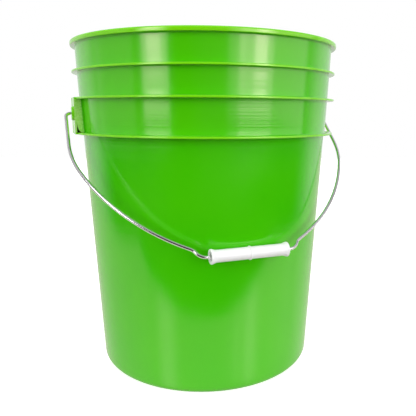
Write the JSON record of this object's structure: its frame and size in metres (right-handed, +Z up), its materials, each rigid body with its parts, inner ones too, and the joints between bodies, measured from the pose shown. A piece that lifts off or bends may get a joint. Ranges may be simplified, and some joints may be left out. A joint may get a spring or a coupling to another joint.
{
  "type": "plastic pail with bail",
  "caption": "Open tapered plastic pail with stiffening ribs under its rim, a steel wire bail that swings in two moulded ears, and a tube grip that turns on the wire.",
  "frame": {"origin": "centre of the pail's foot, on the surface that it stands on", "axes": "+Z up the pail's own axis, the two ears on the X axis, the bail hanging at the front towards -Y"},
  "size_m": [0.321, 0.3016, 0.368],
  "materials": {
    "pail_plastic": "semi-gloss moulded polyethylene, lime green",
    "bail_steel": "bright zinc-plated steel wire",
    "grip_plastic": "white moulded polyethylene, satin"
  },
  "bodies": {
    "pail": {"pail": "pail_plastic"},
    "bail": {"bail_wire": "bail_steel"},
    "grip": {"grip": "grip_plastic"}
  },
  "joints": [
    {"name": "bail_swing", "type": "hinge", "parent": "pail", "child": "bail", "pos_m": [0, 0, 0.2915], "axis": [-1, 0, 0], "range_deg": [0, 266]},
    {"name": "grip_spin", "type": "hinge", "parent": "bail", "child": "grip", "pos_m": [0, -0.14233, 0.15785], "axis": [1, 0, 0], "continuous": true}
  ]
}
